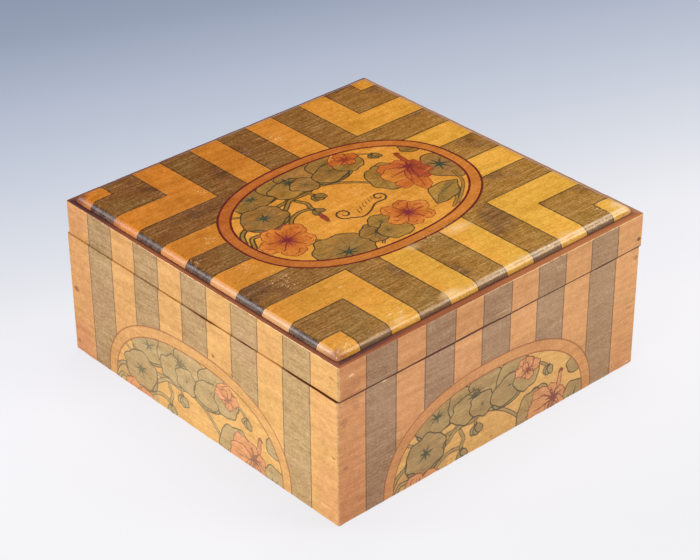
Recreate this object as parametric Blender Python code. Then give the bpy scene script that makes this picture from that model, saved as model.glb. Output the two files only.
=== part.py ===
"""A square keepsake box of thin boards with a lift-off lid, at its real size.

Metres, with +Z up. X runs along the front and Y from the front to the back. The origin is in the
middle of the underside. The body is a mitred frame of four boards round a bottom board. The lid is
a lower mitred frame of four boards with a top board laid on it, whose upper edge is rounded over.
The lid rests on the rim of the body by its own weight, and nothing holds it there.
"""
from math import radians, sqrt

import bmesh
import bpy
from mathutils import Matrix, Vector

MM = 0.001

# Driving sizes
BOX_WIDTH = 220.0 * MM
BOX_DEPTH = 222.5 * MM
SEAM_HEIGHT = 75.5 * MM
LEDGE_HEIGHT = 95.8 * MM
TOP_HEIGHT = 100.5 * MM
WALL = 7.0 * MM
BOTTOM_THICKNESS = 5.0 * MM
TOP_BOARD_WIDTH = 212.4 * MM
TOP_BOARD_DEPTH = 213.2 * MM

# The lid rests a little to the right and front of the body, and the top board isn't quite centred
# on the lid frame. The origin lies halfway between the middles of the body and of the lid frame.
LID_OFF_BODY = Vector((0.7, -0.6, 0.0)) * MM
TOP_BOARD_OFF_LID = Vector((-1.1, -0.4, 0.0)) * MM
BODY_PLACE = -LID_OFF_BODY / 2
LID_PLACE = LID_OFF_BODY / 2

# Edges
CORNER_RADIUS = 1.2 * MM
CORNER_STEPS = 4
ARRIS = 0.4 * MM
ROUND_WIDTH = 5.4 * MM
ROUND_FOOT = 0.2 * MM
ROUND_STEPS = 8
SHARP_ANGLE = radians(35)

# Clearance between neighbouring pieces, and how far a cutter runs past what it cuts
GAP = 0.3 * MM
OVERRUN = 5.0 * MM

# Finishes: colour, roughness and metallic value
STAINED_MAPLE = ((0.60, 0.33, 0.12), 0.42, 0.0)
VARNISHED_TOP = ((0.62, 0.31, 0.07), 0.30, 0.0)
BARE_WOOD = ((0.58, 0.38, 0.20), 0.62, 0.0)

# Each side of a frame: its name, and the quarter turns that bring the front board there
SIDES = (("front", 0), ("right", 1), ("back", 2), ("left", 3))


def clear_scene():
    """Take every object out of the open scene."""
    for old in list(bpy.data.objects):
        bpy.data.objects.remove(old, do_unlink=True)


def collection(name):
    """A new collection under the scene's own."""
    made = bpy.data.collections.new(name)
    bpy.context.scene.collection.children.link(made)
    return made


def finish(name, look):
    """A plain wood finish from its colour, roughness and metallic value."""
    colour, roughness, metallic = look
    made = bpy.data.materials.new(name)
    made.use_nodes = True
    shader = made.node_tree.nodes["Principled BSDF"]
    shader.inputs["Base Color"].default_value = (*colour, 1.0)
    shader.inputs["Roughness"].default_value = roughness
    shader.inputs["Metallic"].default_value = metallic
    made.diffuse_color = (*colour, 1.0)
    return made


def block(width, depth, height):
    """A plain block in a new bmesh, centred in plan, with its underside at zero."""
    mesh = bmesh.new()
    bmesh.ops.create_cube(mesh, size=1.0)
    bmesh.ops.translate(mesh, verts=mesh.verts, vec=(0.0, 0.0, 0.5))
    bmesh.ops.scale(mesh, verts=mesh.verts, vec=(width, depth, height))
    return mesh


def upright(edge):
    """Whether an edge stands along Z."""
    run = edge.verts[1].co - edge.verts[0].co
    return abs(run.z) > 0.9 * run.length


def round_over(mesh, edges, width, steps):
    """Round the given edges to a quarter circle of this radius, in this many steps."""
    bmesh.ops.bevel(mesh, geom=edges, offset=width, segments=steps, profile=0.5,
                    affect='EDGES', clamp_overlap=False)


def place(name, mesh, where, home, material=None):
    """Make a bmesh an object in a collection, at a place and with a finish."""
    data = bpy.data.meshes.new(name)
    mesh.to_mesh(data)
    mesh.free()
    made = bpy.data.objects.new(name, data)
    made.location = where
    home.objects.link(made)
    if material:
        data.materials.append(material)
        data.shade_smooth()
        data.set_sharp_from_angle(angle=SHARP_ANGLE)
    return made


def eased_block(width, depth, height):
    """The whole outline of a frame: upright corners rounded, level edges just broken."""
    mesh = block(width, depth, height)
    round_over(mesh, [e for e in mesh.edges if upright(e)], CORNER_RADIUS, CORNER_STEPS)
    rims = [e for e in mesh.edges if not upright(e) and e.calc_face_angle(0.0) > 1.0]
    round_over(mesh, rims, ARRIS, 1)
    return mesh


def mitre_wedge(length, height):
    """What one board of a frame keeps: a prism with 45 degree ends, a gap shy of its neighbours.

    The wide side lies past the outer face at y = -OVERRUN, and the narrow side is the inner face.
    """
    mesh = block(1.0, 1.0, height + 2 * OVERRUN)
    along = GAP / 2 * sqrt(2)
    for vert in mesh.verts:
        inward = WALL if vert.co.y > 0 else -OVERRUN
        side = 1 if vert.co.x > 0 else -1
        vert.co.x = side * (length / 2 - inward - along)
        vert.co.y = inward
    return mesh


def frame_of_boards(prefix, low, high, where, home, cutters, material):
    """Four mitred boards that make a frame between two heights, cut from one rounded outline."""
    for side, turns in SIDES:
        crosswise = turns % 2 == 1
        length = BOX_DEPTH if crosswise else BOX_WIDTH
        reach = (BOX_WIDTH if crosswise else BOX_DEPTH) / 2
        base = where + Vector((0.0, 0.0, low))
        outline = eased_block(BOX_WIDTH, BOX_DEPTH, high - low)
        board = place(f"{prefix}_{side}_board", outline, base, home, material)

        turn = Matrix.Rotation(radians(90 * turns), 4, 'Z')
        wedge = mitre_wedge(length, high - low)
        bmesh.ops.translate(wedge, verts=wedge.verts, vec=(0.0, -reach, -OVERRUN))
        bmesh.ops.transform(wedge, matrix=turn, verts=wedge.verts)
        cutter = place(f"{prefix}_{side}_mitre", wedge, base, cutters)
        cutter.display_type = 'WIRE'
        cutter.hide_render = True

        cut = board.modifiers.new("mitres", 'BOOLEAN')
        cut.operation = 'INTERSECT'
        cut.solver = 'EXACT'
        cut.object = cutter


def bottom_board(home, material):
    """The flat board let in between the walls, flush with their lower edges."""
    inset = 2 * (WALL + GAP)
    mesh = block(BOX_WIDTH - inset, BOX_DEPTH - inset, BOTTOM_THICKNESS)
    place("body_bottom_board", mesh, BODY_PLACE, home, material)


def top_board(home, material):
    """The board on the lid frame, its upper edge rounded to a quarter of an ellipse.

    The edge is first rounded to a circle on a thicker board, which is then flattened in Z.
    """
    low = LEDGE_HEIGHT + GAP
    thickness = TOP_HEIGHT - low
    flatten = (thickness - ROUND_FOOT) / ROUND_WIDTH
    mesh = block(TOP_BOARD_WIDTH, TOP_BOARD_DEPTH, thickness / flatten)
    rim = [e for e in mesh.edges if all(v.co.z > 0 for v in e.verts)]
    round_over(mesh, rim, ROUND_WIDTH, ROUND_STEPS)
    bmesh.ops.scale(mesh, verts=mesh.verts, vec=(1.0, 1.0, flatten))
    where = LID_PLACE + TOP_BOARD_OFF_LID + Vector((0.0, 0.0, low))
    place("lid_top_board", mesh, where, home, material)


def build():
    clear_scene()
    parts = collection("painted_wooden_box")
    cutters = collection("cutters")
    walls = finish("stained_walls", STAINED_MAPLE)
    varnished = finish("varnished_top", VARNISHED_TOP)
    bare = finish("bare_wood", BARE_WOOD)

    frame_of_boards("body", 0.0, SEAM_HEIGHT, BODY_PLACE, parts, cutters, walls)
    bottom_board(parts, bare)
    frame_of_boards("lid", SEAM_HEIGHT + GAP, LEDGE_HEIGHT, LID_PLACE, parts, cutters, walls)
    top_board(parts, varnished)


build()
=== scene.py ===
"""The looks of a painted wooden box: its boards, stains, painted flowers, varnish and wear.

Boards, picture and paints are worked out in millimetres, and a name that ends in _mm is such a length.
The stage, the lights and the camera are in metres. X runs along the front of the box, Y from the front to
the back and Z up, as on the frame. A board's own coordinates, seen from outside the box, are: along it
from left to right, height above the floor, and depth in from its face.
"""
import math

import bpy
import numpy as np
from mathutils import Matrix, Vector


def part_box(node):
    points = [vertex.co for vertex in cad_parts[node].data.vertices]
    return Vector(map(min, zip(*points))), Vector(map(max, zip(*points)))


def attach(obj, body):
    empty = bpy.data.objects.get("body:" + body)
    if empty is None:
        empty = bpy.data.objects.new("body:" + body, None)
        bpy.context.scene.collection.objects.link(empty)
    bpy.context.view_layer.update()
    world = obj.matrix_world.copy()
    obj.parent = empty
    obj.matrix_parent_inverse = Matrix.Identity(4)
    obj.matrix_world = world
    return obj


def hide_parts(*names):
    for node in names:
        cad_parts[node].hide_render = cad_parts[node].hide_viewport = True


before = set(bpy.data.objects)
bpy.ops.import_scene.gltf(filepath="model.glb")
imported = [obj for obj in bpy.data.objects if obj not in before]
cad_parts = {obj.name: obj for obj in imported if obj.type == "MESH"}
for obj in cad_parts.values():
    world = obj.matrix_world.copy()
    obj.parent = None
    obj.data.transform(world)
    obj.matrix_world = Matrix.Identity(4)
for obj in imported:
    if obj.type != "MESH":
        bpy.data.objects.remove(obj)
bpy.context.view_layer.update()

MM = 0.001
SIDES = ("front", "right", "back", "left")


def outline_of(prefix):
    """Lowest and highest corner of a frame of four boards, in mm."""
    lows, highs = zip(*(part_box(f"{prefix}_{side}_board") for side in SIDES))
    return np.min(lows, axis=0) / MM, np.max(highs, axis=0) / MM


BODY_mm = outline_of("body")
LID_mm = outline_of("lid")
TOP_mm = [np.array(corner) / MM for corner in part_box("lid_top_board")]
TOP_MIDDLE_mm = (TOP_mm[0] + TOP_mm[1]) / 2
WALL_mm = (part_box("body_front_board")[1].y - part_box("body_front_board")[0].y) / MM

# Wooden edges
CORNER_RADIUS_mm = 1.2
ARRIS_mm = 0.45
ARRIS_POINTS = 5
ROUND_WIDTH_mm = 5.4
ROUND_FOOT_mm = 0.2
ROUND_POINTS = 10
CORNER_POWER = 6.0
MITRE_GAP_mm = 0.01
SEAM_mm = (BODY_mm[1][2] + LID_mm[0][2]) / 2
SEAM_ARRIS_mm = 0.18
SHARP_ANGLE = 32

# Stripes, counted from the middle of a face
STRIPE_mm = 20.2
DARK_HALF_mm = 10.25

# The oval on the top, and its upper half on each wall
OVAL_mm = (77.7, 54.9)
OVAL_PLACE_mm = (-0.73, -0.63)
PICTURE_PLACE_mm = (-0.05, 0.3)
ARCH_mm = (77.2, 52.2)
ARCH_PLACE_mm = -2.0
BAND_mm = 6.65
OVAL_POWER = 2.3
PEN_mm = 0.8
FAR_mm = 9.0

# Grids. The outer rows of a wall's face stand a little in from its edges, and its last columns at shares
# of the way from its straight stretch to the mitre
FINE_mm = 0.45
COARSE_mm = 3.0
EDGE_ROW_mm = 0.9
LID_ROWS = 12
LID_COLUMNS = 180
END_STRETCH_mm = 2
END_SHARES = np.array([0.15, 0.3, 0.45, 0.6, 0.72, 0.82, 0.9, 0.92, 0.94, 0.96, 0.98, 1.0])

# Boards are numbered from the front as in SIDES, and the top is 9
TOP_BOARD = 9
BOARDS_APART_mm = 50

# Camera
CAMERA_AT = (-0.68165, -0.75802, 0.67942)
CAMERA_AZIMUTH = -41.88
CAMERA_ELEVATION = 31.75
CAMERA_ROLL = -0.44
CAMERA_LENS = 111.8
CAMERA_SHIFT = (0.0, 0.0013)

# Floor and lights: shares of a ramp with their shades, and the point that the lamps look at
FLOOR_HALF = 6.0
FLOOR_DROP = 0.0002
FLOOR_BOUNCE = 0.14
FLOOR_GLOW = 0.84
FLOOR_SHADES = (
    (0.0, (239, 239, 242)), (0.2, (245, 244, 248)), (0.3, (238, 238, 243)), (0.4, (215, 219, 228)),
    (0.5, (193, 200, 215)), (0.6, (173, 182, 201)), (0.7, (148, 158, 180)), (0.9, (120, 130, 155)),
)
LAMPS_AIM = (0, 0, 0.05)


def light(red, green, blue):
    """A colour as the eye names it, each part from 0 to 255, turned into linear light."""
    parts = np.array((red, green, blue)) / 255
    return np.where(parts > 0.04045, ((parts + 0.055) / 1.055) ** 2.4, parts / 12.92)


# Paints and inks of the picture
FIELD = light(206, 137, 44)
LEAF = light(147, 106, 39)
LEAF_DEEP = light(102, 80, 34)
LEAF_PALE = light(180, 130, 48)
LEAF_BROWN = light(138, 88, 44)
PETAL = light(187, 98, 26)
PETAL_RED = light(156, 64, 26)
PETAL_PALE = light(202, 124, 40)
PURPLE = light(112, 26, 36)
GREEN_INK = light(44, 38, 16)
VEIN_INK = light(76, 62, 26)
STAR_INK = light(32, 54, 36)
RED_INK = light(124, 38, 14)
FAINT_INK = light(164, 70, 26)
DARK_INK = light(48, 26, 14)


# Grids and smooth lines

def spaced(low, fine_low, fine_high, high):
    """Positions from low to high in mm: fine steps in the middle stretch and coarse ones beside it."""
    stretches = ((low, fine_low, COARSE_mm), (fine_low, fine_high, FINE_mm), (fine_high, high, COARSE_mm))
    parts = []
    for start, end, step in stretches:
        count = max(1, round((end - start) / step))
        parts.append(np.linspace(start, end, count, endpoint=False))
    return np.append(np.concatenate(parts), high)


def smooth_line(points, step=0.6):
    """Catmull-Rom curve through the points, read about every step mm."""
    p = np.array(points, float)
    p = np.vstack((2 * p[0] - p[1], p, 2 * p[-1] - p[-2]))
    pieces = []
    for a, b, c, d in zip(p, p[1:], p[2:], p[3:]):
        count = max(3, int(np.hypot(*(c - b)) / step))
        t = np.linspace(0, 1, count, endpoint=False)[:, None]
        bend = (2 * a - 5 * b + 4 * c - d) * t**2 + (3 * b - a - 3 * c + d) * t**3
        pieces.append(0.5 * (2 * b + (c - a) * t + bend))
    return np.vstack(pieces + [p[-2:-1]])


def wander(at, seed, wave, size):
    """A smooth wavering value along a line: 1.6 times the mean of four sines, about wave long and size
    high."""
    rng = np.random.default_rng(seed)
    lengths = wave * rng.uniform(0.5, 1.8, 4)
    phases = rng.uniform(0, 2 * np.pi, 4)
    return size * np.mean([np.sin(2 * np.pi * at / n + q) for n, q in zip(lengths, phases)], axis=0) * 1.6


def oval_distance(x, y, half):
    """Distance in mm from the oval (|x/a|^n + |y/b|^n)^(1/n) = 1, as its level over its slope. It is
    negative inside."""
    u = np.maximum(np.abs(x) / half[0], 1e-4)
    v = np.maximum(np.abs(y) / half[1], 1e-4)
    total = (u**OVAL_POWER + v**OVAL_POWER) ** (1 / OVAL_POWER)
    steep = np.hypot(u ** (OVAL_POWER - 1) / half[0], v ** (OVAL_POWER - 1) / half[1])
    return (total - 1) * total ** (OVAL_POWER - 1) / steep


def band_and_field(x, y, half):
    """Distances in mm from an oval's band and from the field that it frames, negative inside each."""
    field = oval_distance(x, y, (half[0] - BAND_mm, half[1] - BAND_mm))
    return np.maximum(oval_distance(x, y, half), -field), field


def turned(middle, turn, size=1.0):
    """A function for the place of (u, v), counted from the middle in units of size, on axes that are
    turned by turn radians."""
    cos, sin = size * math.cos(turn), size * math.sin(turn)

    def at(u, v):
        return (middle[0] + u * cos - v * sin, middle[1] + u * sin + v * cos)
    return at


def toward(colour, other, share):
    """A colour taken a share of the way to another."""
    return colour + (other - colour) * share


# The painted picture

class Canvas:
    """Paint and pen lines on a grid of points, columns along xs and rows along ys, in mm.

    ink is each point's distance from the edge of the nearest pen line, negative in the line. A form
    laid on the canvas hides the lines under it: inside it ink is never less than the distance to its
    own edge. Every form is given by a level that is 0 on its edge and negative inside, and its
    distance is that level over its slope.
    """

    def __init__(self, xs, ys, seed):
        self.xs, self.ys = np.asarray(xs), np.asarray(ys)
        size = (len(self.ys), len(self.xs))
        self.paint = np.tile(FIELD, size + (1,))
        self.pen = np.tile(GREEN_INK, size + (1,))
        self.ink = np.full(size, FAR_mm)
        self.rng = np.random.default_rng(seed)

    def patch(self, middle, reach):
        """The rows and columns within reach of a point, and their offsets from it. None where the grid is
        missed."""
        columns = slice(*np.searchsorted(self.xs, (middle[0] - reach, middle[0] + reach)))
        rows = slice(*np.searchsorted(self.ys, (middle[1] - reach, middle[1] + reach)))
        x, y = np.meshgrid(self.xs[columns] - middle[0], self.ys[rows] - middle[1])
        return ((rows, columns), x, y) if min(x.shape) > 2 else None

    def tint(self, where, colour, share):
        """Take the paint a share of the way to a colour."""
        self.paint[where] = toward(self.paint[where], colour, share)

    def lay(self, where, level, fill, ink, pen=PEN_mm):
        """Fill a form with paint and draw its edge with the pen."""
        rows, columns = where
        down, across = np.gradient(level, self.ys[rows], self.xs[columns])
        edge = level / np.maximum(np.hypot(down, across), 1e-3)
        self.tint(where, fill, np.clip(0.5 - edge / FINE_mm, 0, 1)[..., None])
        self.pen[where] = np.where((edge < 1.0)[..., None], ink, self.pen[where])
        self.ink[where] = np.minimum(np.abs(edge) - pen / 2, np.maximum(self.ink[where], -edge))
        return edge

    def stroke(self, where, edge, ink):
        """Add a pen line, edge being the distance from its side."""
        nearer = (edge < np.minimum(self.ink[where], 1.0))[..., None]
        self.pen[where] = np.where(nearer, ink, self.pen[where])
        self.ink[where] = np.minimum(self.ink[where], edge)

    def along(self, points):
        """A patch round a smooth line through points, each grid point's distance from it, and how far
        along it that is, from 0 to 1."""
        line = smooth_line(points)
        low, high = line.min(axis=0), line.max(axis=0)
        middle = (low + high) / 2
        found = self.patch(middle, np.max(high - low) / 2 + 4)
        if found is None:
            return None
        where, x, y = found
        grid = np.stack((x, y), axis=-1)[:, :, None]
        start, step = line[:-1] - middle, np.diff(line, axis=0)
        t = np.clip(((grid - start) * step).sum(-1) / (step**2).sum(-1), 0, 1)
        away = np.linalg.norm(grid - start - t[..., None] * step, axis=-1)
        nearest = away.argmin(axis=-1)[..., None]
        share = (nearest + np.take_along_axis(t, nearest, -1)) / len(step)
        return where, np.take_along_axis(away, nearest, -1)[..., 0], share[..., 0]

    def pen_line(self, points, ink=GREEN_INK, width=PEN_mm, start=1.0, end=1.0):
        """A pen line through points, its width tapering from start to end times the full width."""
        found = self.along(points)
        if found:
            where, away, share = found
            taper = (start + (end - start) * share) * np.minimum(1, 0.4 + 6 * np.minimum(share, 1 - share))
            self.stroke(where, away - width / 2 * taper, ink)

    def stem(self, points, width=2.2, fill=LEAF, ink=GREEN_INK, start=1.0, end=1.0, pen=0.6):
        """A stem through points: a filled strip between two pen lines."""
        found = self.along(points)
        if found:
            where, away, share = found
            self.lay(where, away - width / 2 * (start + (end - start) * share), fill, ink, pen)

    def rays(self, middle, reach, count, turn, length, width, ink, squash=1.0):
        """A star of pen strokes that taper outwards from a point, squash times as high as wide."""
        found = self.patch(middle, reach)
        if found is None:
            return
        where, x, y = found
        y = y / squash
        best = np.full(x.shape, FAR_mm)
        for k in range(count):
            angle = turn + 2 * np.pi * (k + self.rng.uniform(-0.15, 0.15)) / count
            far = length * self.rng.uniform(0.75, 1.15)
            out = x * np.cos(angle) + y * np.sin(angle)
            side = np.abs(y * np.cos(angle) - x * np.sin(angle))
            ray = side - width / 2 * np.clip(1.15 - out / far, 0, 1)
            outside = np.where(out > 0, np.maximum(ray, out - far), np.hypot(x, y) - width / 2)
            best = np.minimum(best, outside)
        self.stroke(where, best, ink)

    def streaks(self, where, x, y, edge, count, turn, amount, colour):
        """Soft streaks of paint from a point outwards, inside a form."""
        angle = np.arctan2(y, x)
        far = np.hypot(x, y)
        wave = np.cos(count * (angle - turn) + 0.8 * np.sin(far / 3))
        share = amount * np.clip(wave, 0, 1) ** 6 * np.clip(-edge / 1.5, 0, 1)
        self.tint(where, colour, share[..., None])


def blob(x, y, half, turn, rng, waves, rough):
    """Level of a wavy oval: distance over its half axes, less 1 and two ripples round it."""
    cos, sin = np.cos(turn), np.sin(turn)
    u, v = (x * cos + y * sin) / half[0], (y * cos - x * sin) / half[1]
    angle = np.arctan2(v, u)
    first, second = rng.uniform(0, 2 * np.pi, 2)
    ripple = rough * np.sin(waves * angle + first) + 0.6 * rough * np.sin((waves + 3) * angle + second)
    return np.hypot(u, v) - 1 - ripple


def round_leaf(canvas, middle, half, turn, star=True, hub=(0, 0), shade=0.35, rim=0.0, rough=0.045):
    """A round leaf with a star of veins at its hub, and a dark fold of its own under its lower rim."""
    turn = math.radians(turn)
    reach = max(half)
    found = canvas.patch(middle, 1.25 * reach + 2)
    if found is None:
        return
    where, x, y = found
    rng = canvas.rng
    level = blob(x, y, half, turn, rng, waves=int(rng.integers(4, 7)), rough=rough)
    if rim:
        low_turn = rng.uniform(-0.5, 0.5)
        shifted = blob(x - rim * low_turn, y + rim, half, turn, rng, waves=5, rough=0.03)
        canvas.lay(where, shifted, LEAF_DEEP, GREEN_INK, 0.8)
    hub_x, hub_y = x - hub[0], y - hub[1]
    tone = np.clip(np.hypot(hub_x, hub_y) / reach, 0, 1)[..., None]
    angle = np.arctan2(hub_y, hub_x)
    patchy = 0.5 + 0.5 * np.sin(2 * angle + rng.uniform(0, 6))[..., None]
    fill = toward(LEAF, LEAF_PALE, tone * (0.1 + 0.6 * patchy)) + (LEAF_DEEP - LEAF) * shade * (1 - tone)
    fill = toward(fill, LEAF_BROWN, 0.25 + 0.25 * math.sin(0.13 * middle[0] + 0.05 * middle[1]))
    fill = fill * rng.uniform(0.84, 1.1)
    edge = canvas.lay(where, level, fill, GREEN_INK)
    canvas.streaks(where, hub_x, hub_y, edge, int(rng.integers(8, 11)), rng.uniform(0, 3), 0.45, LEAF_DEEP)
    place, squash = (middle[0] + hub[0], middle[1] + hub[1]), half[1] / half[0]
    canvas.rays(place, reach, 7, rng.uniform(0, 1), 0.72 * reach, 0.5, VEIN_INK, squash)
    if star:
        canvas.rays(place, reach, 7, rng.uniform(0, 1), 0.45 * reach, 1.6, STAR_INK, squash)


def long_leaf(canvas, middle, half, turn):
    """A leaf seen from its side: a pointed oval, |v| under 1 - |u|^1.7 on a bent middle line, with u and v
    the shares of its half length and half height."""
    turn = math.radians(turn)
    found = canvas.patch(middle, half[0] * 1.2 + 2)
    if found is None:
        return
    where, x, y = found
    u = (x * math.cos(turn) + y * math.sin(turn)) / half[0]
    v = (y * math.cos(turn) - x * math.sin(turn)) / half[1]
    bent = v + 0.25 * u**2 - 0.12 + 0.06 * np.sin(7 * u)
    level = np.abs(bent) - (1 - np.abs(u) ** 1.7)
    tone = np.clip(0.5 + 0.5 * v, 0, 1)[..., None]
    edge = canvas.lay(where, level * 0.7, toward(LEAF_DEEP, LEAF_PALE, 0.3 + 0.5 * tone), GREEN_INK)
    dark = np.exp(-((bent - 0.15 * np.sin(3 * u)) / 0.22) ** 2) * np.clip(-edge / 2, 0, 1) * 0.6
    canvas.tint(where, LEAF_DEEP, dark[..., None])
    at = turned(middle, turn)

    def vein(*points):
        return [at(u * half[0], (v - 0.25 * u**2 + 0.12) * half[1]) for u, v in points]

    canvas.pen_line(vein((-0.95, 0), (-0.3, 0.12), (0.3, -0.05), (0.9, 0)), VEIN_INK, 0.6)
    for k in (-0.5, -0.1, 0.3):
        for start, end in ((0.05, 0.4), (0, -0.45)):
            canvas.pen_line(vein((k, start), (k + 0.2, end)), VEIN_INK, 0.5, 1.0, 0.5)


def petal(canvas, root, length, width, turn, fill=PETAL, deep=PETAL_RED, rough=0.06, point=0.0):
    """One petal from its root outwards: an egg, wider at its free end or pointed there, with streaks."""
    turn = math.radians(turn)
    at = turned(root, turn, length)
    found = canvas.patch(at(0.52, 0), max(length, width) * 0.75 + 2)
    if found is None:
        return
    where, x, y = found
    cos, sin = math.cos(turn), math.sin(turn)
    u, v = x * cos + y * sin, y * cos - x * sin
    egg = 0.78 + (0.30 - point) * np.clip(u / length, -0.5, 0.5)
    level = blob(u, v / egg, (length * 0.52, width * 0.5), 0.0, canvas.rng, waves=6, rough=rough)
    tone = np.clip(0.5 - u / length, 0, 1)[..., None]
    edge = canvas.lay(where, level, toward(fill, deep, tone**1.5 * 0.8), RED_INK, 0.6)
    root_x, root_y = x + cos * length * 0.52, y + sin * length * 0.52
    canvas.streaks(where, root_x, root_y, edge, 22, turn, 0.30, deep)
    for side in (-0.14, 0.12):
        canvas.pen_line([at(0.25, 0), at(0.8, 0.8 * side)], FAINT_INK, 0.45, 1.0, 0.5)


def open_flower(canvas, middle, radius, turn, squash, petals=5):
    """A full flower seen from the front: one frilled outline, bent pen lines between its petals, thin
    streaks from the throat and a dark star in it.

    With a the angle from the first gap, the outline's radius is that of the flower times
    0.68 + h |sin(n a / 2)|^0.7 and small ripples, h being about 0.3 and its own for each petal.
    """
    found = canvas.patch(middle, 1.25 * radius)
    if found is None:
        return
    where, x, y = found
    y = y / squash
    rng = canvas.rng
    turn = math.radians(turn)
    phases = rng.uniform(0, 6, 3)

    def wave_of_petal(angle, phase):
        return np.sin(np.floor(angle * petals / (2 * np.pi)) * 2.4 + phase)

    def outline(angle):
        high = 0.3 + 0.07 * wave_of_petal(angle, phases[0])
        scallop = 0.68 + high * np.abs(np.sin(petals * angle / 2)) ** 0.7
        ripples = 0.02 * np.sin(13 * angle + phases[1]) + 0.012 * np.sin(23 * angle + phases[2])
        return radius * (scallop + ripples)

    angle = np.arctan2(y, x) - turn
    far = np.hypot(x, y)
    share = np.clip(far / radius, 0, 1)[..., None]
    each = 0.5 + 0.5 * wave_of_petal(angle, phases[2])[..., None]
    fill = toward(PETAL_RED, PETAL, np.clip(share * 2.2, 0, 1))
    fill = toward(fill, PETAL_PALE, np.clip(share * 1.6 - 0.5, 0, 1) * (0.4 + 0.6 * each))
    edge = canvas.lay(where, far / outline(angle) - 1, fill, RED_INK, 0.65)
    canvas.streaks(where, x, y, edge, 5 * petals, turn, 0.55, PETAL_RED)

    def line(points, *pen):
        """A pen line through points that are given by their radius and angle."""
        places = [(r * math.cos(a + turn), squash * r * math.sin(a + turn)) for r, a in points]
        canvas.pen_line([(middle[0] + x, middle[1] + y) for x, y in places], *pen)

    for k in range(petals):
        gap = 2 * np.pi * k / petals
        bend = rng.uniform(0.12, 0.32)
        reach = (0.12, 0.3, 0.45, 0.6, float(outline(gap)) / radius)
        line([(radius * r, gap + bend * math.sin(math.pi * r)) for r in reach], RED_INK, 0.9, 0.7, 1.0)
        for part in (0.28, 0.5, 0.72):
            a = gap + 2 * np.pi * part / petals
            near, end = rng.uniform(0.22, 0.3), rng.uniform(0.55, 0.8)
            line([(radius * near, a), (radius * end, a + 0.06)], FAINT_INK, 0.6, 1.0, 0.5)
        a = gap + 2 * np.pi * rng.uniform(0.3, 0.5) / petals
        fold = [(float(outline(a + d)) * (0.84 - 1.2 * d * d), a + d) for d in (0, 0.12, 0.25, 0.38)]
        line(fold, RED_INK, 0.6)
    canvas.tint(where, PURPLE, np.exp(-(far / (0.24 * radius)) ** 2)[..., None] * 0.7)
    canvas.rays(middle, radius, 9, rng.uniform(0, 1), 0.42 * radius, 1.2, PURPLE, squash)


def half_open_flower(canvas, middle, size, turn):
    """A flower half open: a pale cup, curled petals in it and a dark throat."""
    cup = (middle[0] + 0.4 * size, middle[1] - 0.4 * size)
    petal(canvas, cup, size * 1.7, size * 1.9, 140 + turn, PETAL_PALE, PETAL)
    curled = ((178, 1.2, 1.0), (20, 1.15, 1.1), (95, 1.0, 1.2), (-60, 0.8, 1.0), (130, 0.7, 0.7))
    for angle, length, width in curled:
        petal(canvas, middle, size * length, size * width, angle + turn, PETAL, PETAL_RED, 0.08)
    canvas.rays(middle, size, 6, 0.4, 0.6 * size, 1.1, RED_INK)


def side_flower(canvas, middle, size):
    """A flower seen from its side: two broad back petals, a red throat, pointed petals hanging from it and
    a spur rising to the right."""
    at = turned(middle, 0, size)

    def line(*points):
        return [at(u, v) for u, v in points]

    spur = line((0.3, 0.3), (0.44, 0.66), (0.48, 0.92), (0.52, 1.06))
    canvas.stem(spur, 2.6, PETAL_RED, RED_INK, 1.7, 0.7)
    canvas.pen_line(line((0.42, 1.0), (0.52, 1.1), (0.6, 1.0)), RED_INK, 1.8)
    for angle, length, width, fill, point in (
        (105, 0.55, 0.7, PETAL, 0.2), (152, 0.92, 0.85, PETAL, 0.0), (14, 0.5, 0.6, PETAL_RED, 0.0),
        (222, 1.2, 0.8, PETAL, 0.1), (188, 1.0, 0.95, PETAL_PALE, -0.1), (-48, 0.7, 0.6, PETAL_RED, 0.3),
        (-107, 1.38, 0.74, PETAL, 0.45), (-82, 0.8, 0.6, PETAL_RED, 0.5),
    ):
        petal(canvas, at(0.2, 0.2), size * length, size * width, angle, fill, PETAL_RED, 0.05, point)
    for points in (
        ((-0.3, 0.5), (0.0, 0.36), (0.18, 0.1), (0.1, -0.4)), ((-0.65, 0.1), (-0.3, 0.1), (0.1, 0.16)),
        ((0.52, -0.2), (0.36, 0.0), (0.24, 0.18)), ((-0.3, -0.5), (-0.05, -0.2), (0.12, 0.1)),
        ((-0.2, -1.0), (0.0, -0.5), (0.14, 0.0)), ((0.12, 0.62), (0.2, 0.4), (0.2, 0.2)),
    ):
        canvas.pen_line(line(*points), RED_INK, 0.9, 0.6, 1.0)
    canvas.rays(at(0.24, 0.24), size * 0.6, 7, 0.2, 0.34 * size, 1.7, PURPLE)


def bud(canvas, middle, size, turn, lobes=3):
    """A green bud: two or three small lobes side by side, dark between them."""
    for k in np.linspace(-1, 1, lobes):
        a = math.radians(turn + 90 + 42 * k)
        found = canvas.patch(turned(middle, a, size)(0.55, 0), size * 1.5 + 1)
        if found is not None:
            where, x, y = found
            lobe = blob(x, y, (0.72 * size, 0.5 * size), a, canvas.rng, 3, 0.05)
            fill = toward(LEAF_DEEP, LEAF, np.clip(0.5 + y / size, 0, 1)[..., None])
            canvas.lay(where, lobe, fill, GREEN_INK, 0.7)
    canvas.pen_line([middle, (middle[0] + 0.1, middle[1] + 0.5 * size)], GREEN_INK, 1.2)


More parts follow.
